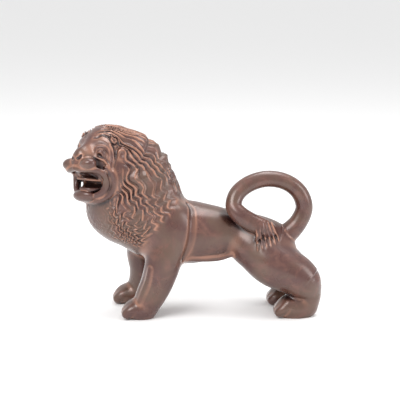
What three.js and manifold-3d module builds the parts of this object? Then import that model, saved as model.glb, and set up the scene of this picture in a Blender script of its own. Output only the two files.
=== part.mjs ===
// A glazed ceramic lion, modelled by hand and fired in one piece. It stands on four flat soles with the
// forelegs braced, the hind legs stretched back, the head turned to its left with the mouth open, and the
// tail curled up in a ring that comes down across its left hip.
// Millimetres. +Z is up, the lion faces -X, and its left side is -Y. The origin is on the ground, under the
// middle of the figure's length and width.

import * as THREE from "three";
import { mergeVertices } from "three/addons/utils/BufferGeometryUtils.js";
import Module from "manifold-3d";

const { abs, atan2, ceil, cos, max, min, PI, sin, sqrt } = Math;

// Driving dimensions.
const FORE_STANCE = 55; // between the middles of the forefeet
const HIND_STANCE = 44; // between the middles of the hind feet
const CHEST_DEPTH = 64; // back to breastbone, behind the shoulders
const WAIST_DEPTH = 45;
const TAIL_THICKNESS = 16.5;
const HEAD_TURN = 45; // degrees to its left
const HEAD_LIFT = 12; // degrees up
const LOCKS_ROUND_MANE = 34;
const LOCK_DEPTH = 1.5;
const LOCK_WAVE = 17; // along a lock, from one bend to the next but one
const TOES = 4;
const TUFT_STRANDS = 6;
const TUFT_RELIEF = 2;
const CELL = 1.6; // of the grid on which the surface is first found
const FACES = 9600; // of the finished solid, about

const LEFT = -1;
const RIGHT = 1;

// Forms. Each is a function of a point that gives the distance to the form's surface, negative inside.

// A ball, or with three radii an egg whose axes lie along x, y and z.
const ball =
  (cx, cy, cz, rx, ry = rx, rz = rx) =>
  (x, y, z) => {
    const u = (x - cx) / rx;
    const v = (y - cy) / ry;
    const w = (z - cz) / rz;
    const size = sqrt(u * u + v * v + w * w);
    const slope = sqrt((u / rx) ** 2 + (v / ry) ** 2 + (w / rz) ** 2);
    return slope > 0 ? (size * (size - 1)) / slope : -min(rx, ry, rz);
  };

// A round bar along a smooth curve through stations [x, y, z, radius].
const limb = (...stations) => {
  const STEPS_PER_SPAN = 3;
  const line = new THREE.CatmullRomCurve3(stations.map(([x, y, z]) => new THREE.Vector3(x, y, z)));
  const girth = new THREE.CatmullRomCurve3(stations.map(([, , , r]) => new THREE.Vector3(r, 0, 0)));
  const steps = (stations.length - 1) * STEPS_PER_SPAN;
  const spans = [];
  for (let i = 0; i < steps; i += 1) {
    const a = line.getPoint(i / steps);
    const b = line.getPoint((i + 1) / steps).sub(a);
    const radius = girth.getPoint(i / steps).x;
    const growth = girth.getPoint((i + 1) / steps).x - radius;
    spans.push({ a, b, scale: 1 / b.lengthSq(), radius, growth });
  }
  return (x, y, z) => {
    let nearest = Infinity;
    for (let i = 0; i < steps; i += 1) {
      const { a, b, scale, radius, growth } = spans[i];
      const px = x - a.x;
      const py = y - a.y;
      const pz = z - a.z;
      const t = max(0, min(1, (px * b.x + py * b.y + pz * b.z) * scale));
      const qx = px - t * b.x;
      const qy = py - t * b.y;
      const qz = pz - t * b.z;
      nearest = min(nearest, sqrt(qx * qx + qy * qy + qz * qz) - radius - t * growth);
    }
    return nearest;
  };
};

// Joins two distances with a fillet that reaches about `reach` to each side of the seam.
const melt = (a, b, reach) => {
  const h = max(reach - abs(a - b), 0) / reach;
  return min(a, b) - (h * h * reach) / 4;
};
const meltAll =
  (reach, ...forms) =>
  (x, y, z) =>
    forms.reduce((d, form) => melt(d, form(x, y, z), reach), Infinity);
// Takes b away from a, with the rim rounded.
const hollow = (a, b, reach) => -melt(-a, b, reach);
const smooth = (from, to, value) => {
  const t = max(0, min(1, (value - from) / (to - from)));
  return t * t * (3 - 2 * t);
};
// A form that is only worked out within CLEAR of the ball that bounds it. Beyond, the ball stands for it.
const CLEAR = 22;
const bounded = (cx, cy, cz, radius, form) => (x, y, z) => {
  const away = sqrt((x - cx) ** 2 + (y - cy) ** 2 + (z - cz) ** 2) - radius;
  return away > CLEAR ? away : form(x, y, z);
};

// Body.
const CHEST = CHEST_DEPTH / 2;
const WAIST = WAIST_DEPTH / 2;
const trunk = limb(
  [-44, 0, 89, CHEST + 1],
  [-22, 0, 82.5, CHEST + 1],
  [-2, 0, 80.5, CHEST - 0.5],
  [18, 0, 80.5, CHEST - 5],
  [38, 0, 80, WAIST],
  [60, 0, 75, WAIST + 1],
  [76, 0, 69, WAIST + 1],
  [81, 0, 65, WAIST],
);
const shoulder = (side) => ball(-24, side * 20, 92, 22, 15, 24);

// A leg bends through its stations. Each foreleg has places of its own along x, because the right forefoot
// is set ahead of the left one, and the right hind foot is `ahead` of the left one.
const foreleg = (side, [shoulderX, elbowX, shinX, ankleX, heelX]) =>
  limb(
    [shoulderX, side * 15, 90, 24],
    [shoulderX, side * 21, 73, 21],
    [elbowX, side * 26, 57, 18],
    [shinX, (side * FORE_STANCE) / 2, 36, 16],
    [ankleX, (side * FORE_STANCE) / 2, 20, 14.5],
    [heelX, (side * FORE_STANCE) / 2, 8, 12],
  );
const hindleg = (side, ahead) =>
  limb(
    [62, side * 10, 66, 22],
    [79 - 0.5 * ahead, side * 17, 53.5, 23.5],
    [107 - ahead, (side * HIND_STANCE) / 2, 38, 19.5],
    [115 - ahead, (side * HIND_STANCE) / 2, 25, 14],
    [114 - ahead, (side * HIND_STANCE) / 2, 10, 10.5],
  );

// A paw: a heel, and toes side by side whose knuckles are at x and whose tips curl up by `rise`. It reaches
// below the ground, where the flat sole is cut.
const paw = (x, side, stance, length, rise) => {
  const WIDTH = 26;
  const y = (side * stance) / 2;
  const forms = [limb([x + length, y, 7, 10.5], [x + 4, y, 9, 10.5])];
  const gap = WIDTH / TOES;
  for (let i = 0; i < TOES; i += 1) {
    const off = (i - (TOES - 1) / 2) * gap;
    const back = 0.12 * abs(off);
    const knuckle = [x + back, y + off, 10 + rise, 5.6];
    forms.push(limb([x + 8, y + 0.7 * off, 11 + rise, 6.5], knuckle, [x - 4 + back, y + off, 7 + rise, 5]));
  }
  return bounded(x + 5, y, 10, 26, meltAll(2.5, ...forms));
};

// Tail. Its end lies on the left hip, where a hooked first strand and the tuft's others fan out and down.
const TAIL = TAIL_THICKNESS / 2;
const tail = bounded(75, -10, 100, 55, limb(
  [82, 0, 69, TAIL + 4],
  [94, 0, 78, TAIL + 2.5],
  [105.5, 1, 90, TAIL + 1],
  [111.5, 2, 105, TAIL + 0.5],
  [106.5, 1, 120.5, TAIL + 0.2],
  [93.5, 0, 131.3, TAIL],
  [74.5, -2, 135.3, TAIL],
  [56, -6, 131, TAIL],
  [43.5, -12, 121.5, TAIL],
  [40.5, -18, 110.5, TAIL],
  [46.5, -21.5, 103, TAIL + 0.7],
  [57, -22, 96, TAIL + 1],
  [67, -22, 91, TAIL + 1.2],
  [75, -20, 87, TAIL],
));
const hook = limb([57, -26, 89, 2], [63, -27.5, 84.5, 2.8], [65, -29, 79, 2.4], [62, -30.5, 74, 1.6]);
// How far the tuft stands out of the hip. Its strands are rays of a fan whose middle is high above it.
const tuft = (x, y, z) => {
  const angle = THREE.MathUtils.radToDeg(atan2(x - 64, 145 - z));
  const away = Math.hypot(x - 64, 145 - z);
  if (y > -8 || away > 84) return 0;
  const SPREAD = 24; // degrees
  const share = (angle - 2) / SPREAD;
  const strand = abs(cos(PI * (share * TUFT_STRANDS - 0.5)));
  const tip = 72 + 6 * strand - 3 * share;
  const across = smooth(-0.02, 0.05, share) * (1 - smooth(0.95, 1.02, share));
  const along = smooth(50, 60, away) * (1 - smooth(tip - 2, tip + 2, away));
  return TUFT_RELIEF * across * along * (0.2 + 0.8 * strand);
};

// The head has its own axes: s forward, t out to each side alike, h up, from the middle of the skull.
const HEAD = new THREE.Vector3(-86.5, -12, 155.5);
const turn = THREE.MathUtils.degToRad(HEAD_TURN);
const lift = THREE.MathUtils.degToRad(HEAD_LIFT);
const FORWARD = new THREE.Vector3(-cos(turn) * cos(lift), -sin(turn) * cos(lift), sin(lift));
const LEFTWARD = new THREE.Vector3(sin(turn), -cos(turn), 0);
const UPWARD = new THREE.Vector3().crossVectors(FORWARD, LEFTWARD);
const inHead = (form) => (x, y, z) => {
  const px = x - HEAD.x;
  const py = y - HEAD.y;
  const pz = z - HEAD.z;
  const s = px * FORWARD.x + py * FORWARD.y + pz * FORWARD.z;
  const t = px * LEFTWARD.x + py * LEFTWARD.y + pz * LEFTWARD.z;
  const h = px * UPWARD.x + py * UPWARD.y + pz * UPWARD.z;
  return form(s, abs(t), h);
};
const face = () => {
  const skull = ball(0, 0, 4, 28, 27, 30);
  const forehead = ball(6, 0, 16, 14, 19, 14);
  const muzzle = limb([4, 0, -4, 19], [26, 0, -4, 12]);
  const cheek = ball(6, 15, -8, 14, 12, 16);
  const bridge = limb([16, 0, 14, 7], [33, 0, 4, 6]);
  const brow = limb([20, 4, 13, 4], [18, 13, 17.5, 4.5], [10, 22, 14, 4], [7, 24, 4, 3.5]);
  const ear = ball(-1, 26, 10, 4, 7, 8);
  const curl = ball(6, 19, 22, 5.5, 5.5, 5.5);
  const jaw = limb([0, 0, -24, 17], [15, 0, -34, 9]);
  const rim = limb([26, 16, -12, 4], [16.5, 21, -17, 5], [13, 20, -27, 5], [17, 12, -34, 5]);
  const eye = ball(17.5, 16, 8, 6, 7, 5.5);
  const pad = ball(29.5, 12, -8.5, 8.5, 9.5, 8);
  const nose = ball(35, 0, 3, 5.5, 8, 5);
  const lip = ball(19, 0, -36, 8.5, 13.5, 6.5);
  const nostril = ball(40, 4, 2.5, 3, 2.4, 1.8);
  const pupil = ball(23.5, 17, 7, 3, 1.8, 1.6);
  return (s, t, h) => {
    let d = melt(skull(s, t, h), forehead(s, t, h), 8);
    d = melt(d, cheek(s, t, h), 8);
    d = melt(d, melt(muzzle(s, t, h), bridge(s, t, h), 5), 5);
    d = melt(d, jaw(s, t, h), 4);
    d = melt(d, brow(s, t, h), 4);
    d = melt(d, ear(s, t, h), 3);
    d = melt(d, curl(s, t, h), 3);
    d = melt(d, rim(s, t, h), 3);
    d = melt(d, eye(s, t, h), 1.5);
    d = melt(d, pad(s, t, h), 2);
    d = melt(d, nose(s, t, h), 2);
    d = melt(d, lip(s, t, h), 2);
    d = hollow(d, nostril(s, t, h), 1);
    return hollow(d, pupil(s, t, h), 1);
  };
};

const mouth = ball(20, 0, -22.5, 20, 15.5, 6.5);

// Mane. Its locks run from the crown down to the breast, like lines of longitude, and wave as they go.
const CROWN = new THREE.Vector3(-97, -22, 184);
const BREAST = new THREE.Vector3(-62, 2, 60);
const mane = () => {
  const down = BREAST.clone().sub(CROWN);
  const reach = down.length();
  down.normalize();
  const back = new THREE.Vector3(1, 0.2, 0).addScaledVector(down, -down.x - 0.2 * down.y).normalize();
  const side = new THREE.Vector3().crossVectors(down, back);
  const mass = meltAll(
    14,
    limb([-80, -4, 154, 34.5], [-62.5, 0, 136, 42.3], [-54.5, 0, 110, 39.5]),
    ball(-57, 0, 104, 49.5, 39, 36),
  );
  return (x, y, z) => {
    const d = mass(x, y, z);
    if (abs(d) > 3 * LOCK_DEPTH) return d;
    const px = x - CROWN.x;
    const py = y - CROWN.y;
    const pz = z - CROWN.z;
    const v = px * down.x + py * down.y + pz * down.z;
    const b = px * back.x + py * back.y + pz * back.z;
    const w = px * side.x + py * side.y + pz * side.z;
    const round = atan2(w, b);
    const wave = (1.9 / max(sqrt(b * b + w * w), 12)) * sin((2 * PI * v) / LOCK_WAVE + 2.2 * sin(2 * round));
    const lock = (LOCKS_ROUND_MANE * (round + wave)) / (2 * PI);
    const ridge = sqrt(cos(PI * lock) ** 2 + 0.02);
    const strength = smooth(0.05, 0.2, v / reach) * (1 - smooth(0.86, 1, v / reach));
    return d - LOCK_DEPTH * strength * (ridge - 0.5);
  };
};

// The whole lion.
const lion = () => {
  const body = meltAll(
    10,
    trunk,
    foreleg(LEFT, [-26, -29, -35.5, -43, -48.5]),
    foreleg(RIGHT, [-37, -50, -49.5, -52.5, -60]),
    hindleg(LEFT, 0),
    hindleg(RIGHT, 9),
    shoulder(LEFT),
    shoulder(RIGHT),
  );
  const paws = [
    paw(-62.5, LEFT, FORE_STANCE, 13, 0),
    paw(-74.5, RIGHT, FORE_STANCE, 13, 0),
    paw(88.5, LEFT, HIND_STANCE, 23, 2),
    paw(83.5, RIGHT, HIND_STANCE, 23, 2),
  ];
  const hair = bounded(-66, 0, 125, 78, mane());
  const features = bounded(HEAD.x, HEAD.y, HEAD.z, 50, inHead(face()));
  const opening = inHead(mouth);
  return (x, y, z) => {
    let d = body(x, y, z);
    for (const form of paws) d = melt(d, form(x, y, z), 6);
    d = melt(d, hair(x, y, z), 5);
    d = melt(d, tail(x, y, z), 4);
    d = melt(d, hook(x, y, z), 2) - tuft(x, y, z);
    d = melt(d, features(x, y, z), 3);
    return hollow(d, opening(x, y, z), 2);
  };
};

// The surface of a form between the corners low and high, as points [x, y, z] and faces [a, b, c]. Each
// cell of the grid that the surface crosses holds one point, drawn onto the surface itself, and each grid
// edge that it crosses is ringed by the points of the four cells round it.
const skin = (form, low, high, cell) => {
  const size = low.map((edge, axis) => ceil((high[axis] - edge) / cell) + 2);
  const at = (i, j, k) => (k * size[1] + j) * size[0] + i;
  const known = new Float32Array(size[0] * size[1] * size[2]).fill(NaN);
  const value = (i, j, k) => {
    const n = at(i, j, k);
    if (Number.isNaN(known[n])) known[n] = form(low[0] + i * cell, low[1] + j * cell, low[2] + k * cell);
    return known[n];
  };
  const points = [];
  const pointOf = new Map();
  const settle = (p) => {
    const STEP = 0.05;
    for (let round = 0; round < 2; round += 1) {
      const [x, y, z] = p;
      const d = form(x, y, z);
      const steps = [form(x + STEP, y, z), form(x, y + STEP, z), form(x, y, z + STEP)];
      const slope = steps.map((there) => (there - d) / STEP);
      const steepness = max(slope[0] ** 2 + slope[1] ** 2 + slope[2] ** 2, 0.2);
      slope.forEach((part, axis) => {
        p[axis] -= max(-cell / 2, min(cell / 2, (d * part) / steepness));
      });
    }
    return p;
  };
  // Where two corners of a cell's side are inside and the two between them aren't, one of those is taken as
  // inside too, so that the surface never touches itself.
  const mend = (i, j, k) => {
    let mended = false;
    for (let axis = 0; axis < 3; axis += 1) {
      const step = [0, 0, 0];
      const over = [0, 0, 0];
      step[(axis + 1) % 3] = 1;
      over[(axis + 2) % 3] = 1;
      const corners = [[0, 0], [1, 0], [1, 1], [0, 1]].map(([p, q]) =>
        [i, j, k].map((c, n) => c + p * step[n] + q * over[n]),
      );
      const signs = corners.map((corner) => value(...corner) < 0);
      if (signs[0] === signs[1] || signs[0] !== signs[2] || signs[1] !== signs[3]) continue;
      known[at(...corners[signs[0] ? 1 : 0])] = -0.01;
      mended = true;
    }
    return mended;
  };
  const place = (i, j, k) => {
    const sum = [0, 0, 0];
    let crossings = 0;
    for (let axis = 0; axis < 3; axis += 1) {
      for (let edge = 0; edge < 4; edge += 1) {
        const corner = [0, 0, 0];
        corner[(axis + 1) % 3] = edge % 2;
        corner[(axis + 2) % 3] = edge >> 1;
        const a = value(i + corner[0], j + corner[1], k + corner[2]);
        corner[axis] = 1;
        const b = value(i + corner[0], j + corner[1], k + corner[2]);
        if (a < 0 === b < 0) continue;
        corner[axis] = a / (a - b);
        corner.forEach((part, n) => {
          sum[n] += part;
        });
        crossings += 1;
      }
    }
    if (crossings === 0) return;
    pointOf.set(at(i, j, k), points.length);
    points.push(settle([i, j, k].map((c, n) => low[n] + (c + sum[n] / crossings) * cell)));
  };
  const cells = [];
  const visit = (i, j, k, span) => {
    const middle = [i, j, k].map((c, n) => low[n] + (c + span / 2) * cell);
    if (abs(form(...middle)) > span * cell * 1.1 + 1.5) return;
    if (span === 1) {
      cells.push([i, j, k]);
      return;
    }
    const half = span / 2;
    for (let n = 0; n < 8; n += 1) {
      const [a, b, c] = [i + (n & 1) * half, j + ((n >> 1) & 1) * half, k + (n >> 2) * half];
      if (a < size[0] - 1 && b < size[1] - 1 && c < size[2] - 1) visit(a, b, c, half);
    }
  };
  visit(0, 0, 0, 2 ** ceil(Math.log2(max(...size))));
  while (cells.filter((corner) => mend(...corner)).length > 0);
  cells.forEach((corner) => place(...corner));
  const faces = [];
  for (const [i, j, k] of cells) {
    const ring = [
      [at(i, j - 1, k - 1), at(i, j, k - 1), at(i, j, k), at(i, j - 1, k), value(i + 1, j, k)],
      [at(i - 1, j, k - 1), at(i - 1, j, k), at(i, j, k), at(i, j, k - 1), value(i, j + 1, k)],
      [at(i - 1, j - 1, k), at(i, j - 1, k), at(i, j, k), at(i - 1, j, k), value(i, j, k + 1)],
    ];
    for (const [a, b, c, d, beyond] of ring) {
      const inside = value(i, j, k) < 0;
      if (inside === beyond < 0) continue;
      const [p, q, r, s] = [a, b, c, d].map((n) => pointOf.get(n));
      if (inside) faces.push([p, q, r], [p, r, s]);
      else faces.push([p, r, q], [p, s, r]);
    }
  }
  return { points, faces };
};

// The same surface with fewer faces. In each round the edges whose loss moves the surface least are drawn
// together, where that neither turns a face over nor pinches the surface.
const thin = ({ points, faces }, wanted) => {
  const normal = (a, b, c) => {
    const [ux, uy, uz] = [b[0] - a[0], b[1] - a[1], b[2] - a[2]];
    const [vx, vy, vz] = [c[0] - a[0], c[1] - a[1], c[2] - a[2]];
    return [uy * vz - uz * vy, uz * vx - ux * vz, ux * vy - uy * vx];
  };
  const dot = (a, b) => a[0] * b[0] + a[1] * b[1] + a[2] * b[2];
  // Each point carries the sum of the squared distances to the planes it stands for, as ten factors.
  const sums = points.map(() => new Float64Array(10));
  for (const face of faces) {
    const [a, b, c] = face.map((n) => points[n]);
    const n = normal(a, b, c);
    const twice = Math.hypot(...n);
    if (twice === 0) continue;
    const plane = [...n.map((part) => part / twice), -dot(n, a) / twice];
    for (const corner of face) {
      let at = 0;
      for (let p = 0; p < 4; p += 1) {
        for (let q = p; q < 4; q += 1) {
          sums[corner][at] += (plane[p] * plane[q] * twice) / 6;
          at += 1;
        }
      }
    }
  }
  const loss = (m, [x, y, z]) =>
    m[0] * x * x + 2 * m[1] * x * y + 2 * m[2] * x * z + 2 * m[3] * x + m[4] * y * y +
    2 * m[5] * y * z + 2 * m[6] * y + m[7] * z * z + 2 * m[8] * z + m[9];
  const best = (a, b) => {
    const m = sums[a].map((part, n) => part + sums[b][n]);
    const middle = points[a].map((part, n) => (part + points[b][n]) / 2);
    const places = [middle, points[a], points[b]];
    const rows = new THREE.Matrix3().set(m[0], m[1], m[2], m[1], m[4], m[5], m[2], m[5], m[7]);
    if (abs(rows.determinant()) > 1e-3) {
      const spot = new THREE.Vector3(-m[3], -m[6], -m[8]).applyMatrix3(rows.invert()).toArray();
      if (Math.hypot(...spot.map((part, n) => part - middle[n])) < 4) places.push(spot);
    }
    const losses = places.map((spot) => loss(m, spot));
    const n = losses.indexOf(min(...losses));
    const length = Math.hypot(...points[a].map((part, axis) => part - points[b][axis]));
    return { a, b, spot: places[n], cost: losses[n] + 1e-4 * length ** 2 };
  };
  const EVEN = 0.2; // how far a face may turn, as a cosine
  let left = faces;
  while (left.length > wanted) {
    const facesAt = points.map(() => []);
    left.forEach((face) => face.forEach((corner) => facesAt[corner].push(face)));
    const edges = [];
    for (const face of left) {
      face.forEach((a, n) => {
        const b = face[(n + 1) % 3];
        if (a < b) edges.push(best(a, b));
      });
    }
    edges.sort((p, q) => p.cost - q.cost);
    const touched = new Set();
    let spare = min((left.length - wanted) / 2, edges.length / 8);
    for (const { a, b, spot } of edges) {
      if (spare <= 0) break;
      if (touched.has(a) || touched.has(b)) continue;
      const ringA = new Set(facesAt[a].flat());
      const shared = new Set(facesAt[b].flat().filter((corner) => ringA.has(corner)));
      const holds = (end) =>
        facesAt[end].every((face) => {
          if (face.includes(a) && face.includes(b)) return true;
          const before = normal(...face.map((corner) => points[corner]));
          const after = normal(...face.map((corner) => (corner === end ? spot : points[corner])));
          return dot(before, after) > EVEN * Math.hypot(...before) * Math.hypot(...after);
        });
      if (shared.size !== 4 || !holds(a) || !holds(b)) continue;
      for (const face of [...facesAt[a], ...facesAt[b]]) face.forEach((corner) => touched.add(corner));
      for (const face of facesAt[b]) {
        if (face.includes(a)) face.length = 0;
        else face[face.indexOf(b)] = a;
      }
      points[a] = spot;
      sums[a] = sums[a].map((part, n) => part + sums[b][n]);
      spare -= 1;
    }
    left = left.filter((face) => face.length === 3);
  }
  return { points, faces: left };
};

// The fired piece. Its soles are ground flat, and its origin is set on the ground below its middle.
const wasm = await Module();
wasm.setup();
const solidOf = (geometry) =>
  new wasm.Manifold(
    new wasm.Mesh({
      numProp: 3,
      vertProperties: new Float32Array(geometry.attributes.position.array),
      triVerts: new Uint32Array(geometry.index.array),
    }),
  );
const geometryOf = (position, index) => {
  const geometry = new THREE.BufferGeometry();
  geometry.setAttribute("position", new THREE.Float32BufferAttribute(position, 3));
  geometry.setIndex(Array.from(index));
  return geometry;
};
const { points, faces } = thin(skin(lion(), [-140, -64, -8], [136, 62, 198], CELL), FACES);
const ground = new THREE.BoxGeometry(400, 200, 40).translate(0, 0, -20);
ground.deleteAttribute("normal");
ground.deleteAttribute("uv");
const modelled = solidOf(geometryOf(points.flat(), faces.flat()));
const fired = modelled.subtract(solidOf(mergeVertices(ground))).getMesh();
const geometry = geometryOf(fired.vertProperties, fired.triVerts);
geometry.computeBoundingBox();
const middle = geometry.boundingBox.getCenter(new THREE.Vector3());
geometry.translate(-middle.x, -middle.y, 0);
geometry.computeVertexNormals();

const glaze = new THREE.MeshStandardMaterial({ color: 0x5b3a35, roughness: 0.25, metalness: 0.1 });
const sculpture = new THREE.Mesh(geometry, glaze);
sculpture.name = "lion";
const model = new THREE.Group();
model.add(sculpture);
export default model;
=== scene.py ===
# A glazed ceramic lion on a pale floor. Its surface is worked out from the same forms as the solid, with the
# finer carving of the face, mane, paws and tuft added, and covered with one lustre glaze.

from concurrent.futures import ThreadPoolExecutor

import bpy
import mathutils
import numpy as np
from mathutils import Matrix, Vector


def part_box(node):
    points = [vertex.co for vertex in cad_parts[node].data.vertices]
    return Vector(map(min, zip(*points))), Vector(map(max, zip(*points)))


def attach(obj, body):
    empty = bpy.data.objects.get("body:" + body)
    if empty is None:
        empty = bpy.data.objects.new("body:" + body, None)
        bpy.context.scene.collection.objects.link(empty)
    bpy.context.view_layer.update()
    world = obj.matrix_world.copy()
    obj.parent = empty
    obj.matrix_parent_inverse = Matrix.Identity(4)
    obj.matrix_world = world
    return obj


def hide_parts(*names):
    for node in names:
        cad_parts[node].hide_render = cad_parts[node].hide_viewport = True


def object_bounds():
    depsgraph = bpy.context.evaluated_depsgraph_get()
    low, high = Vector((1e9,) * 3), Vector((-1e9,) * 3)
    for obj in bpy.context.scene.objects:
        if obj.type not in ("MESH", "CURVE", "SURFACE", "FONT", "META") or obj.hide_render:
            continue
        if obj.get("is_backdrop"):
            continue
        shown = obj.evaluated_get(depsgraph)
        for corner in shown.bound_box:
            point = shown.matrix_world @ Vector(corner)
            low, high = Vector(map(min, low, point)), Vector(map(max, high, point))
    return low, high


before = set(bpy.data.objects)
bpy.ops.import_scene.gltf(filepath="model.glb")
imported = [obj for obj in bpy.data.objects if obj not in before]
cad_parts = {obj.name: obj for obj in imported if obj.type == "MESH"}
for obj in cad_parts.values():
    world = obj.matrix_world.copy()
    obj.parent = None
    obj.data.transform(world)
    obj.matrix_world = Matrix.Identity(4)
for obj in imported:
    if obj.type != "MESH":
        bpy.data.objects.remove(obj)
size_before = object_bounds()

# Driving dimensions, in millimetres and degrees, in the modeller's own frame: the lion faces -X, its left
# side is -Y, and the soles are cut at z = 0.
FORE_STANCE = 55.0
HIND_STANCE = 44.0
CHEST = 32.0
WAIST = 22.5
TAIL = 8.25
HEAD_TURN = 45.0
HEAD_LIFT = 12.0
LOCKS_ROUND_MANE = 44
LOCK_DEPTH = 2.2
TOES = 4
TUFT_STRANDS = 6
TUFT_RELIEF = 1.2
LEFT, RIGHT = -1.0, 1.0
CELL = 0.7
MOST_FACES = 196000


# Forms. Each is a function of arrays x, y, z that gives the distance to the form's surface, negative inside.
def ball(cx, cy, cz, rx, ry=None, rz=None):
    """A ball, or with three radii an egg whose axes lie along x, y and z."""
    ry = rx if ry is None else ry
    rz = rx if rz is None else rz

    def form(x, y, z):
        u, v, w = (x - cx) / rx, (y - cy) / ry, (z - cz) / rz
        size = np.sqrt(u * u + v * v + w * w)
        slope = np.sqrt((u / rx) ** 2 + (v / ry) ** 2 + (w / rz) ** 2)
        return size * (size - 1) / np.maximum(slope, 1e-6)

    return form


def through(points, steps):
    """Places along the centripetal Catmull-Rom curve through the points."""
    points = np.asarray(points, float)
    before = 2 * points[0] - points[1]
    after = 2 * points[-1] - points[-2]
    ends = np.vstack([before, points, after])
    places = []
    for i in range(steps + 1):
        at = (len(points) - 1) * i / steps
        n = min(int(at), len(points) - 2)
        t = at - n
        p0, p1, p2, p3 = ends[n : n + 4]
        d0, d1, d2 = (np.sqrt(np.linalg.norm(b - a)) for a, b in ((p0, p1), (p1, p2), (p2, p3)))
        d1 = d1 if d1 > 1e-2 else 1.0
        d0 = d0 if d0 > 1e-2 else d1
        d2 = d2 if d2 > 1e-2 else d1
        t1 = ((p1 - p0) / d0 - (p2 - p0) / (d0 + d1) + (p2 - p1) / d1) * d1
        t2 = ((p2 - p1) / d1 - (p3 - p1) / (d1 + d2) + (p3 - p2) / d2) * d1
        places.append(p1 + t1 * t + (3 * (p2 - p1) - 2 * t1 - t2) * t**2 + (2 * (p1 - p2) + t1 + t2) * t**3)
    return np.array(places)


def limb(*stations):
    """A round bar along a smooth curve through stations (x, y, z, radius)."""
    SPANS, FINE = 3, 24
    stations = np.array(stations, float)
    count = len(stations) - 1
    line, girth = (through(part, count * SPANS) for part in (stations[:, :3], stations[:, 3:]))
    table = np.hstack([through(part, count * FINE) for part in (stations[:, :3], stations[:, 3:])]).T
    share = np.linspace(0, 1, count * FINE + 1)
    slope = np.gradient(table, share, axis=1)

    def form(x, y, z):
        nearest = np.full(x.shape, 1e9)
        where = np.zeros(x.shape)
        for n in range(count * SPANS):
            a, (bx, by, bz) = line[n], line[n + 1] - line[n]
            px, py, pz = x - a[0], y - a[1], z - a[2]
            t = np.clip((px * bx + py * by + pz * bz) / (bx * bx + by * by + bz * bz), 0, 1)
            px -= t * bx
            py -= t * by
            pz -= t * bz
            d = np.sqrt(px * px + py * py + pz * pz) - girth[n, 0] - t * (girth[n + 1, 0] - girth[n, 0])
            closer = d < nearest
            np.copyto(nearest, d, where=closer)
            np.copyto(where, n + t, where=closer)
        # Close by, the distance is taken from the curve itself.
        near = nearest < 5
        if near.any():
            x, y, z, at = x[near], y[near], z[near], where[near] / (count * SPANS)
            for _ in range(3):
                cx, cy, cz, radius, sx, sy, sz, growth = (np.interp(at, share, row) for row in (*table, *slope))
                px, py, pz = x - cx, y - cy, z - cz
                away = np.sqrt(px * px + py * py + pz * pz)
                ahead = (px * sx + py * sy + pz * sz + growth * away) / (sx * sx + sy * sy + sz * sz)
                at = np.clip(at + np.clip(ahead, -0.5 / count, 0.5 / count), 0, 1)
            nearest[near] = away - radius
        return nearest

    return form


def melt(a, b, reach):
    """Joins two distances with a fillet that reaches about `reach` to each side of the seam."""
    h = np.maximum(reach - np.abs(a - b), 0) / reach
    return np.minimum(a, b) - h * h * reach / 4


def hollow(a, b, reach):
    """Takes b away from a, with the rim rounded."""
    return -melt(-a, b, reach)


def melt_all(reach, *forms):
    def form(x, y, z):
        d = forms[0](x, y, z)
        for other in forms[1:]:
            d = melt(d, other(x, y, z), reach)
        return d

    return form


def smooth(start, end, value):
    t = np.clip((value - start) / (end - start), 0, 1)
    return t * t * (3 - 2 * t)


def bounded(cx, cy, cz, radius, form, clear=22.0):
    """A form that is only worked out near the ball that bounds it. Beyond, the ball stands for it."""

    def near(x, y, z):
        away = np.sqrt((x - cx) ** 2 + (y - cy) ** 2 + (z - cz) ** 2) - radius
        close = away <= clear
        if close.any():
            away[close] = form(x[close], y[close], z[close])
        return away

    return near


# Body.
trunk = limb(
    (-44, 0, 89, CHEST + 1),
    (-22, 0, 82.5, CHEST + 1),
    (-2, 0, 80.5, CHEST - 0.5),
    (18, 0, 80.5, CHEST - 5),
    (38, 0, 80, WAIST),
    (60, 0, 75, WAIST + 1),
    (76, 0, 69, WAIST + 1),
    (81, 0, 65, WAIST),
)


def shoulder(side):
    return ball(-23, side * 21.5, 92.5, 21.5, 15, 24)


def foreleg(side, shoulder_x, elbow_x, shin_x, ankle_x, heel_x):
    foot = side * FORE_STANCE / 2
    return bounded(-43, side * 22, 48, 62, limb(
        (shoulder_x, side * 15, 90, 24),
        (shoulder_x, side * 21, 73, 21),
        (elbow_x, side * 26, 57, 18),
        (shin_x, foot, 36, 16),
        (ankle_x, foot, 20, 14.5),
        (heel_x, foot, 8, 12),
    ))


def hindleg(side, ahead):
    foot = side * HIND_STANCE / 2
    return bounded(90, side * 18, 40, 60, limb(
        (62, side * 10, 66, 22),
        (79 - 0.5 * ahead, side * 17, 53.5, 23.5),
        (107 - ahead, foot, 38, 19.5),
        (115.5 - ahead, foot, 25, 12.5),
        (114.5 - ahead, foot, 10, 10.5),
    ))


def paw(x, side, stance, length, height):
    """A domed foot, with toes side by side in front whose knuckles are at x."""
    width = 26.0
    y = side * stance / 2
    forms = [ball(x + 2 + length / 2, y, 8, length / 2 + 8, width / 2 + 1.5, height - 8)]
    gap = width / TOES
    for i in range(TOES):
        off = (i - (TOES - 1) / 2) * gap
        back = 0.13 * abs(off)
        forms.append(limb(
            (x + 6, y + 0.7 * off, 0.55 * height, 6.5), (x + back, y + off, 9, 5.6), (x - 4 + back, y + off, 6, 5)
        ))
    return bounded(x + 8, y, 10, 30, melt_all(3, *forms))


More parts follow.
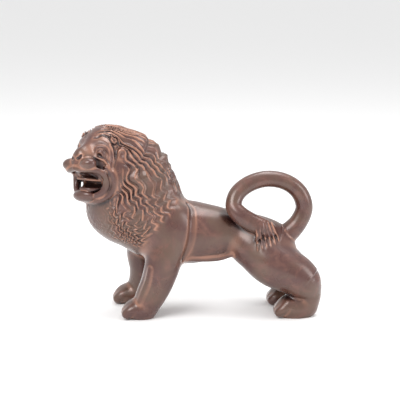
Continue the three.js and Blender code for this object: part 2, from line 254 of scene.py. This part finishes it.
# Tail.
tail = bounded(75, -10, 100, 55, limb(
    (82, 0, 69, TAIL + 4),
    (94, 0, 78, TAIL + 2.5),
    (105.5, 1, 90, TAIL + 1),
    (111.5, 2, 105, TAIL + 0.5),
    (106.5, 1, 120.5, TAIL + 0.2),
    (93.5, 0, 131.3, TAIL),
    (74.5, -2, 135.3, TAIL),
    (56, -6, 131, TAIL),
    (43.5, -12, 121.5, TAIL),
    (40.5, -18, 110.5, TAIL),
    (46.5, -21.5, 103, TAIL + 0.7),
    (57, -22, 96, TAIL + 1),
    (67, -22, 91, TAIL + 1.2),
    (75, -20, 87, TAIL),
))
hook = bounded(62, -29, 86, 12, limb(
    (58, -28, 93, 2), (63.5, -29.5, 89.5, 2.5), (65.5, -30, 84.5, 2.4), (62.5, -30.5, 80, 1.6)
))


def tuft(x, y, z):
    """How far the tuft stands out of the hip. Its strands are rays of a fan whose middle is high above it."""
    angle = np.degrees(np.arctan2(x - 60, 145 - z))
    away = np.hypot(x - 60, 145 - z)
    share = (angle - 1) / 21
    strand = 0.5 + 0.5 * np.cos(2 * np.pi * (share * TUFT_STRANDS - 0.5) + 0.5 * np.sin(away / 4))
    tip = 71 + 6 * strand - 5 * share
    across = smooth(-0.03, 0.08, share) * (1 - smooth(0.92, 1.03, share))
    along = smooth(44, 60, away) * (1 - smooth(tip - 5, tip + 2, away))
    here = (y < -8) & (away < 84)
    return np.where(here, TUFT_RELIEF * across * along * smooth(8, 18, -y) * (0.1 + 0.9 * strand), 0)


# The head has its own axes: s forward, t out to each side alike, h up, from the middle of the skull.
HEAD = np.array([-86.5, -12, 155.5])
turn, lift = np.radians(HEAD_TURN), np.radians(HEAD_LIFT)
FORWARD = np.array([-np.cos(turn) * np.cos(lift), -np.sin(turn) * np.cos(lift), np.sin(lift)])
LEFTWARD = np.array([np.sin(turn), -np.cos(turn), 0])
UPWARD = np.cross(FORWARD, LEFTWARD)


def head_place(x, y, z):
    px, py, pz = x - HEAD[0], y - HEAD[1], z - HEAD[2]
    return tuple(px * a[0] + py * a[1] + pz * a[2] for a in (FORWARD, LEFTWARD, UPWARD))


def in_head(form):
    return lambda x, y, z: form(*head_place(x, y, z))


skull = ball(0, 0, 4, 28, 27, 30)
forehead = ball(6, 0, 16, 14, 19, 14)
muzzle = limb((4, 0, -4, 19), (27, 0, -3, 12))
cheek = ball(6, 15, -8, 14, 12, 16)
bridge = limb((16, 0, 14, 7), (31, 0, 5, 6))
brow = limb(
    (22, 4, 12, 3.2), (19.5, 12, 16.5, 3.4), (14.5, 21, 14, 3.2), (13.7, 24, 6, 2.6), (14.2, 25.7, 0, 2.2), (15, 26, -6, 1.6)
)
ear = ball(4.5, 28.5, 9.5, 6, 5, 7)
ear_hollow = ball(9, 33, 9, 3.2, 3.6, 4.2)
curl = ball(10.5, 20, 20, 4.8)
eye = ball(19.7, 15.5, 6.4, 5)
lid = limb((24.6, 10.3, 5, 1.4), (23.6, 13, 11, 1.9), (19, 19, 12.2, 2), (15.7, 22.3, 8, 1.8), (16, 22.7, 3, 1.3))
under_lid = limb((25, 10.8, 3.2, 0.9), (24, 16, 0.6, 1.1), (20.2, 21.3, -0.5, 1.1), (17, 24.3, -4, 1.1), (14, 26.5, -8, 0.9))
pupil = ball(23.8, 17.5, 3.6, 2.2, 2.3, 1.8)
nose = ball(32.5, 0, 3.2, 5.5, 6.5, 5)
wing = ball(34, 4.6, 1, 3.8, 3, 3.3)
nostril = limb((37, 6.2, 1.8, 1.1), (38, 4.8, -0.4, 1.4), (38.3, 2.8, -0.8, 1))
pad = ball(32, 12.5, -6, 7.5, 8.5, 6)
upper_lip = limb((37, 0, -10.5, 2.4), (34.5, 9, -11.5, 2.8), (28, 18, -11.5, 2.8), (19.5, 22.5, -12.5, 2.8))
lower_lip = ball(20, 0, -36, 8.5, 13.5, 6.5)
jaw = limb((0, 0, -24, 17), (15, 0, -34, 9))
rim = limb((19.5, 22.5, -12.5, 2.8), (15, 22.5, -17.5, 3.2), (13.5, 22, -24, 3.4), (15, 18.5, -31, 3.2), (18, 12, -35, 2.6))
fold = limb((18, 24, -7, 2.2), (11, 26.5, -11, 2.8), (7.5, 27, -21, 3), (9, 23.5, -31, 3), (13.5, 14, -38.5, 3), (15, 0, -41, 3))
mouth = ball(20, 2, -22.5, 20, 14, 6.5)
upper_gum = limb((31, 0, -19.5, 1.4), (27.5, 9, -19.2, 1.4), (17, 15, -18.8, 1.3))
lower_gum = limb((25, 0, -29.5, 1.9), (22, 9, -29, 1.9), (12, 14, -27, 1.8))
creases = (
    limb((23.6, 5.5, 21, 0.7), (22.4, 8.9, 21.5, 1.1), (18.7, 11.3, 24.8, 1.3), (15, 17, 23.8, 1.2), (12.5, 20.5, 25, 0.7)),
    limb((20.5, 4.5, 26, 0.6), (17, 8, 28, 1), (14, 11.5, 28.8, 1.1), (8, 16, 28.6, 0.8)),
    limb((14.5, 5.5, 30.8, 0.6), (11, 8.5, 31.6, 1), (5.5, 12, 31.8, 0.8)),
    limb((14, 22.5, 16.5, 0.8), (11.5, 26.3, 10, 1.2), (11, 27.7, 3, 1.3), (12, 28.3, -4, 1)),
)


def swirl(s, t, h):
    """The coil of the curl on the temple, as relief."""
    u, v = (s - 10.5) * 0.9 - (t - 20) * 0.43, (h - 20) * 0.85 - (t - 20) * 0.3 - (s - 10.5) * 0.3
    out = np.hypot(u, v)
    return 0.45 * np.cos(2 * np.pi * out / 3.1 - np.arctan2(v, u)) * (1 - smooth(4.8, 6.6, out)) * smooth(10, 16, t)


def face(s, t, h):
    # The muzzle is a little higher on the left side.
    h = h - 0.14 * t * smooth(12, 30, s)
    t = np.abs(t)
    d = melt(skull(s, t, h), forehead(s, t, h), 8)
    d = melt(d, cheek(s, t, h), 8)
    d = melt(d, melt(muzzle(s, t, h), bridge(s, t, h), 5), 5)
    d = melt(d, jaw(s, t, h), 4)
    for form, reach in (
        (brow, 3), (ear, 2), (curl, 2), (fold, 2.5), (rim, 2), (eye, 1), (lid, 1.2), (under_lid, 1.5),
        (pad, 3), (upper_lip, 3), (nose, 2), (wing, 1.5), (lower_lip, 1.5),
    ):
        d = melt(d, form(s, t, h), reach)
    for form in creases:
        d = hollow(d, form(s, t, h), 1.5)
    for form, reach in ((ear_hollow, 2), (nostril, 1), (pupil, 1)):
        d = hollow(d, form(s, t, h), reach)
    return d - swirl(s, t, h)


# Mane. Its locks run from the crown down to the breast, like lines of longitude, and sway as they go.
CROWN = np.array([-97, -22, 184.0])
BREAST = np.array([-62, 2, 60.0])
down = BREAST - CROWN
down /= np.linalg.norm(down)
back = np.array([1, 0.2, 0]) - down * (down[0] + 0.2 * down[1])
back /= np.linalg.norm(back)
aside = np.cross(down, back)
mane_mass = melt_all(
    14,
    limb((-80, -4, 154, 34.5), (-62.5, 0, 136, 42.3), (-54.5, 0, 110, 39.5)),
    ball(-57, 0, 104, 49.5, 39, 36),
)


def mane_place(x, y, z):
    """How far down the mane, how far round it in radians from the nape, and how far out from its middle."""
    px, py, pz = x - CROWN[0], y - CROWN[1], z - CROWN[2]
    b, w = (px * axis[0] + py * axis[1] + pz * axis[2] for axis in (back, aside))
    return px * down[0] + py * down[1] + pz * down[2], np.arctan2(w, b), np.hypot(b, w)


def hair_share(x, y, z, v, around, out):
    """1 in the hair, 0 on the face and below the locks' ends."""
    s, t, h = head_place(x, y, z)
    hairline = s - 4 - 1.1 * np.maximum(h - 14, 0)
    end = np.interp(np.degrees(np.abs(around)), (0, 30, 46, 60, 75, 105, 150), (84, 85, 94, 104, 116, 108, 99))
    share = (1 - smooth(-2.5, 2.5, hairline)) * smooth(9, 20, out) * (1 - smooth(end - 9, end + 5, v))
    return np.where(v < end + 6, share, 0)


def locks(x, y, z):
    """How far the locks stand out of the mane's mass, or dip into it."""
    v, around, out = mane_place(x, y, z)
    low = smooth(50, 74, v)
    # The locks sway in long waves at the nape and in short ones on the breast, and each has a time of its own.
    drift = 2.4 * np.sin(2 * around + 0.6) + 1.4 * np.sin(5 * around + 1.9) + 0.6 * np.sin(9 * around + 0.3)
    drift += low * (1.6 * np.sin(13 * around + 1.1) + 1.2 * np.sin(v / 9 + 6 * around))
    sway = np.sin(2 * np.pi * (v / 19 + np.maximum(v - 52, 0) ** 2 / 1100) + drift)
    sway += 0.35 * np.sin(v / 3.7 + 11 * around)
    turned = around + 1.5 * sway * smooth(4, 22, v) / np.maximum(out, 10) + 0.05 * np.sin(v / 13 + 7 * around)
    lock = LOCKS_ROUND_MANE * turned
    ridge = (0.5 + 0.5 * np.cos(lock)) ** 1.2
    strands = np.cos(3 * lock + 1.1 * np.sin(v / 5 + 3 * around))
    front = smooth(1.75, 2.25, np.abs(around)) * smooth(62, 74, v)
    relief = ridge - 0.45 + 0.09 * strands
    return LOCK_DEPTH * hair_share(x, y, z, v, around, out) * (1 - 0.4 * low) * (1 - 0.7 * front) * relief


# The whole lion.
body = melt_all(
    10,
    trunk,
    foreleg(LEFT, -26, -29, -35.5, -43, -48.5),
    foreleg(RIGHT, -37, -50, -49.5, -52.5, -60),
    hindleg(LEFT, 0),
    hindleg(RIGHT, 9),
    shoulder(LEFT),
    shoulder(RIGHT),
)
paws = (
    paw(-62.5, LEFT, FORE_STANCE, 15, 19.5),
    paw(-74.5, RIGHT, FORE_STANCE, 15, 19.5),
    paw(89, LEFT, HIND_STANCE, 22, 23),
    paw(84, RIGHT, HIND_STANCE, 22, 22),
)

# Finer modelling, the same on both sides: the edge behind the shoulder and the fold along the belly.
behind_shoulder = limb(
    (-6, -10, 112.5, 0.6), (-1.9, -17, 109, 1.3), (-0.8, -26.5, 102.5, 1.8), (-0.5, -32.5, 92, 2),
    (-1.8, -34, 80, 2), (-4.8, -33.3, 70, 1.7), (-9, -32, 60, 1)
)
belly_fold = limb((-4, -22, 59, 2.5), (13, -18.5, 57.5, 3), (28, -14.5, 57.8, 3), (40, -17, 62, 2))
shin = limb((-41, -39, 52, 2), (-44, -39.4, 38.8, 2.4), (-48, -38.6, 28.4, 2.4), (-52, -37.5, 18, 2))
hair = bounded(-66, 0, 125, 78, mane_mass)
features = bounded(*HEAD, 50, in_head(face))
opening = bounded(*HEAD, 50, in_head(mouth))
gums = bounded(*HEAD, 50, in_head(melt_all(1, upper_gum, lower_gum)))


def lion(x, y, z):
    d = body(x, y, z)
    for form in paws:
        d = melt(d, form(x, y, z), 4)
    d = melt(d, belly_fold(x, -np.abs(y), z), 4)
    d = melt(d, shin(x, y, z), 4)
    d = hollow(d, behind_shoulder(x, -np.abs(y), z), 4)
    d = melt(d, hair(x, y, z), 5)
    d = melt(d, tail(x, y, z), 2.5)
    d = melt(d, hook(x, y, z), 2) - tuft(x, y, z)
    d = melt(d, features(x, y, z), 3)
    d = hollow(d, opening(x, y, z), 2)
    d = melt(d, gums(x, y, z), 1)
    combed = (np.abs(d) < 4) & (x < 0) & (z > 55)
    if combed.any():
        d[combed] -= locks(x[combed], y[combed], z[combed])
    return np.maximum(d, -z)


# Surface. The form is sampled on a grid, only near its surface, and each cell that the surface crosses gets
# one point, drawn onto the surface itself.
LOW = np.array([-134.0, -58.0, -2.0 * CELL - 0.35])
HIGH = np.array([134.0, 52.0, 196.0])


def sample(form, places):
    """The form's distance at each place, a row of x, y, z."""
    with ThreadPoolExecutor() as pool:
        parts = np.array_split(places, max(1, len(places) // 60000))
        work = [pool.submit(form, *(np.ascontiguousarray(part[:, axis]) for axis in range(3))) for part in parts]
        return np.concatenate([part.result() for part in work])


def spread(blocks, ratio):
    """The smaller blocks that each block is made of, `ratio` along each side."""
    steps = np.stack(np.meshgrid(*[np.arange(ratio)] * 3, indexing="ij"), -1).reshape(-1, 3)
    return (blocks[:, None, :] * ratio + steps[None, :, :]).reshape(-1, 3)


def skin(form, low, high, cell):
    """The surface of the form as points and quads."""
    blocks = np.ceil((high - low) / cell / 8).astype(int)
    kept = spread(np.zeros((1, 3), int), blocks.max())
    kept = kept[(kept < blocks).all(1)]
    for span, margin in ((8, 1.5), (2, 0.8)):
        middle = low + (kept + 0.5) * span * cell
        kept = kept[np.abs(sample(form, middle)) < span * cell + margin]
        if span == 8:
            kept = spread(kept, 4)
    corners = blocks * 8 + 1
    stride = np.array([1, corners[0], corners[0] * corners[1]])
    value = np.full(corners.prod(), np.nan, np.float32)
    wanted = np.zeros(len(value), bool)
    for step in spread(np.zeros((1, 3), int), 3):
        wanted[(kept * 2 + step) @ stride] = True
    wanted = np.flatnonzero(wanted)
    place = np.stack([wanted % corners[0], wanted // stride[1] % corners[1], wanted // stride[2]], -1)
    value[wanted] = sample(form, low + place * cell)
    cells = spread(kept, 2)
    base = cells @ stride
    bits = np.array([[n & 1, n >> 1 & 1, n >> 2] for n in range(8)])
    around = base[:, None] + (bits @ stride)[None, :]

    def crossed():
        inside = value[around] < 0
        return inside.any(1) & ~inside.all(1)

    # Where two corners of a cell's side are inside and the two between them aren't, one of those is taken
    # as inside too, so that the surface never touches itself.
    sides = [[0, 1 << a, 1 << a | 1 << b, 1 << b] for a, b in ((0, 1), (1, 2), (2, 0))]
    sides += [[n | 1 << c for n in side] for side, c in zip(sides, (2, 0, 1))]
    mended = True
    while mended:
        mended = False
        near = around[crossed()]
        for side in sides:
            p, q, r, s = (value[near[:, n]] < 0 for n in side)
            twisted = (p == r) & (q == s) & (p != q)
            if twisted.any():
                value[np.where(p[twisted], near[twisted, side[1]], near[twisted, side[0]])] = -0.01
                mended = True
    here = crossed()
    cells, base, level = cells[here], base[here], value[around[here]]
    total = np.zeros((len(cells), 3))
    count = np.zeros(len(cells))
    for axis in range(3):
        for n in range(8):
            if n >> axis & 1:
                continue
            a, b = level[:, n], level[:, n | 1 << axis]
            cross = (a < 0) != (b < 0)
            spot = np.tile(bits[n].astype(float), (len(cells), 1))
            spot[:, axis] = a / np.where(cross, a - b, 1)
            total[cross] += spot[cross]
            count += cross
    points = low + (cells + total / count[:, None]) * cell
    number = np.full(len(value), -1, np.int32)
    number[base] = np.arange(len(base))
    quads = []
    for axis in range(3):
        one, other = stride[(axis + 1) % 3], stride[(axis + 2) % 3]
        starts, ends = value[base] < 0, value[base + stride[axis]] < 0
        for mask, order in ((starts & ~ends, (0, 1, 2, 3)), (ends & ~starts, (3, 2, 1, 0))):
            at = base[mask]
            ring = np.stack([at, at - one, at - one - other, at - other], -1)
            quads.append(number[ring][:, order])
    quads = np.concatenate(quads)
    return points, quads[(quads >= 0).all(1)]


def settle(form, points, furthest):
    """Draws the points onto the surface."""
    step = 0.04
    d = sample(form, points)
    slope = np.stack([sample(form, points + step * np.eye(3)[axis]) - d for axis in range(3)], -1) / step
    move = -d[:, None] * slope / np.maximum((slope**2).sum(1), 0.2)[:, None]
    length = np.linalg.norm(move, axis=1)
    return points + move * np.minimum(1, furthest / np.maximum(length, 1e-9))[:, None]


# Looks.
SOLE = 0.12


def close(form, points, normals, reach):
    """How much the surface within reach shuts each point in, from 0 in the open to 1 in a deep fold."""
    return np.clip(1 - sample(form, points + normals * reach) / reach, 0, 1)


def open_ridge(form, points, normals, reach):
    """How much each point stands on a ridge, from 0 on flat ground to 1 on a sharp crest."""
    return np.clip(1 + sample(form, points - normals * reach) / reach, 0, 1)


def thinned(name, points, quads, wanted):
    """A mesh object of the points and quads, in metres, drawn together to the wanted number of faces."""
    mesh = bpy.data.meshes.new(name)
    mesh.from_pydata((points * 0.001).tolist(), [], quads.tolist())
    piece = bpy.data.objects.new(name, mesh)
    bpy.context.scene.collection.objects.link(piece)
    fewer = piece.modifiers.new("fewer", "DECIMATE")
    fewer.ratio = min(1.0, wanted / (2 * len(quads)))
    fewer.use_collapse_triangulate = True
    graph = bpy.context.evaluated_depsgraph_get()
    done = bpy.data.meshes.new_from_object(piece.evaluated_get(graph))
    piece.modifiers.clear()
    piece.data = done
    done.name = name
    bpy.data.meshes.remove(mesh)
    done.polygons.foreach_set("use_smooth", np.ones(len(done.polygons), bool))
    return piece


def spread_over(piece, name, values):
    """Keeps one number per vertex on the piece, for its material to read."""
    layer = piece.data.attributes.new(name, "FLOAT", "POINT")
    layer.data.foreach_set("value", np.ascontiguousarray(values, np.float32))


points, quads = skin(lion, LOW, HIGH, CELL)
points = settle(lion, points, CELL / 2)
points[:, 2] = np.where(points[:, 2] < SOLE, 0, points[:, 2])
sculpture = thinned("glazed_lion", points, quads, MOST_FACES)
mesh = sculpture.data
places = np.empty(len(mesh.vertices) * 3, np.float32)
mesh.vertices.foreach_get("co", places)
places = places.reshape(-1, 3).astype(float)
normals = np.empty(len(mesh.vertices) * 3, np.float32)
mesh.vertices.foreach_get("normal", normals)
normals = normals.reshape(-1, 3).astype(float)
spots = places * 1000
low, high = (np.array(corner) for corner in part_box("lion"))
shift = (low + high) / 2 - (places.min(0) + places.max(0)) / 2
shift[2] = 0
mesh.vertices.foreach_set("co", (places + shift).astype(np.float32).ravel())
mesh.update()
spread_over(sculpture, "sunk", close(lion, spots, normals, 2.5))
# Painted shade: how far the surface is shut in within 9 mm, between and under parts, kept for the glaze to darken.
spread_over(sculpture, "painted_shade", close(lion, spots, normals, 9.0))
spread_over(sculpture, "crest", open_ridge(lion, spots, normals, 1.5))


# The glaze. It runs thin and coppery on the crests and pools dark in the small grooves; deep folds get painted shade.
def linear(r, g, b):
    """A colour given as it shows on a screen, from 0 to 255."""
    return tuple((c / 255 / 12.92 if c < 11 else ((c / 255 + 0.055) / 1.055) ** 2.4) for c in (r, g, b)) + (1.0,)


class Nodes:
    """A material's node tree, with short calls for the nodes that are used."""

    def __init__(self, name):
        self.material = bpy.data.materials.new(name)
        self.material.use_nodes = True
        self.tree = self.material.node_tree
        self.shader = self.tree.nodes["Principled BSDF"]

    def add(self, kind, settings, inputs):
        node = self.tree.nodes.new(kind)
        for name, value in settings.items():
            setattr(node, name, value)
        for name, value in inputs.items():
            self.feed(node.inputs[name], value)
        return node

    def feed(self, socket, value):
        if isinstance(value, bpy.types.NodeSocket):
            self.tree.links.new(value, socket)
        else:
            socket.default_value = value

    def read(self, name):
        return self.add("ShaderNodeAttribute", {"attribute_name": name}, {}).outputs["Fac"]

    def place(self):
        return self.add("ShaderNodeTexCoord", {}, {}).outputs["Object"]

    def noise(self, scale, detail=3.0, rough=0.5, warp=0.0):
        inputs = {"Vector": self.place(), "Scale": scale, "Detail": detail, "Roughness": rough, "Distortion": warp}
        return self.add("ShaderNodeTexNoise", {}, inputs).outputs["Fac"]

    def ramp(self, value, start, end, low=0.0, high=1.0):
        inputs = {"Value": value, "From Min": start, "From Max": end, "To Min": low, "To Max": high}
        return self.add("ShaderNodeMapRange", {"interpolation_type": "SMOOTHSTEP"}, inputs).outputs["Result"]

    def maths(self, operation, *values):
        return self.add("ShaderNodeMath", {"operation": operation}, dict(enumerate(values))).outputs["Value"]

    def mix(self, share, a, b):
        node = self.add("ShaderNodeMix", {"data_type": "RGBA"}, {})
        for n, value in ((0, share), (6, a), (7, b)):
            self.feed(node.inputs[n], value)
        return node.outputs[2]


glaze = Nodes("lustre_glaze")
sunk, painted_shade, crest = glaze.read("sunk"), glaze.read("painted_shade"), glaze.read("crest")
cloud = glaze.noise(28, 4, 0.55, 0.4)
colour = glaze.mix(glaze.ramp(cloud, 0.38, 0.62), linear(78, 47, 42), linear(88, 64, 52))
colour = glaze.mix(glaze.ramp(glaze.noise(75, 4, 0.6, 0.6), 0.45, 0.75), colour, linear(104, 68, 58))
colour = glaze.mix(glaze.ramp(crest, 0.02, 0.28), colour, linear(150, 105, 85))
colour = glaze.mix(glaze.ramp(sunk, 0.05, 0.55), colour, linear(46, 20, 18))
# Painted shade: the colour goes towards a near-black red where the surface is deeply shut in.
colour = glaze.mix(glaze.ramp(painted_shade, 0.35, 0.9, 0, 0.7), colour, linear(34, 14, 13))
glaze.feed(glaze.shader.inputs["Base Color"], colour)
glaze.feed(glaze.shader.inputs["Roughness"], glaze.ramp(glaze.noise(60, 3), 0.3, 0.7, 0.24, 0.42))
glaze.shader.inputs["Metallic"].default_value = 0.15
glaze.shader.inputs["Coat Weight"].default_value = 0.35
glaze.shader.inputs["Coat Roughness"].default_value = 0.22
mesh.materials.clear()
mesh.materials.append(glaze.material)
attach(sculpture, "root")
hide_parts("lion")

# Floor.
FLOOR = 6.0
floor_mesh = bpy.data.meshes.new("floor")
floor_mesh.from_pydata([(x * FLOOR, y * FLOOR, 0) for x, y in ((-1, -1), (1, -1), (1, 1), (-1, 1))], [], [(0, 1, 2, 3)])
floor = bpy.data.objects.new("floor", floor_mesh)
bpy.context.scene.collection.objects.link(floor)
paper = Nodes("paper")
paper.shader.inputs["Base Color"].default_value = (0.9, 0.9, 0.9, 1)
paper.shader.inputs["Roughness"].default_value = 0.7
floor_mesh.materials.append(paper.material)
floor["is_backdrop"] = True


# Lights and camera.
def softbox(name, place, aim, width, height, power):
    light = bpy.data.lights.new(name, "AREA")
    light.shape = "RECTANGLE"
    light.size, light.size_y, light.energy = width, height, power
    lamp = bpy.data.objects.new(name, light)
    lamp.location = place
    toward = np.array(aim) - np.array(place)
    lamp.rotation_euler = mathutils.Vector(toward).to_track_quat("-Z", "Y").to_euler()
    bpy.context.scene.collection.objects.link(lamp)


softbox("key", (-0.55, -0.75, 0.95), (0, 0, 0.1), 0.7, 0.7, 11)
softbox("top", (0.25, 0.25, 1.2), (0, 0, 0.1), 0.9, 0.6, 9)
softbox("side", (1.1, -0.35, 0.5), (0, 0, 0.1), 0.4, 0.8, 5)
world = bpy.data.worlds.new("studio")
world.use_nodes = True
world.node_tree.nodes["Background"].inputs["Color"].default_value = (1, 1, 1, 1)
world.node_tree.nodes["Background"].inputs["Strength"].default_value = 0.9
bpy.context.scene.world = world
bpy.context.scene.view_settings.view_transform = "Standard"

ELEVATION = np.radians(12)
DISTANCE = 1.333
AIM = np.array([0.006333, 0.003369, 0.1134])
camera = bpy.data.objects.new("camera", bpy.data.cameras.new("camera"))
camera.data.lens = 120
camera.data.sensor_width = 36
camera.location = AIM + DISTANCE * np.array([0, -np.cos(ELEVATION), np.sin(ELEVATION)])
camera.rotation_euler = (np.pi / 2 - ELEVATION, 0, 0)
bpy.context.scene.collection.objects.link(camera)
bpy.context.scene.camera = camera

sizes = {"cad": size_before, "visual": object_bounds()}
{name: [list(corner) for corner in box] for name, box in sizes.items()}
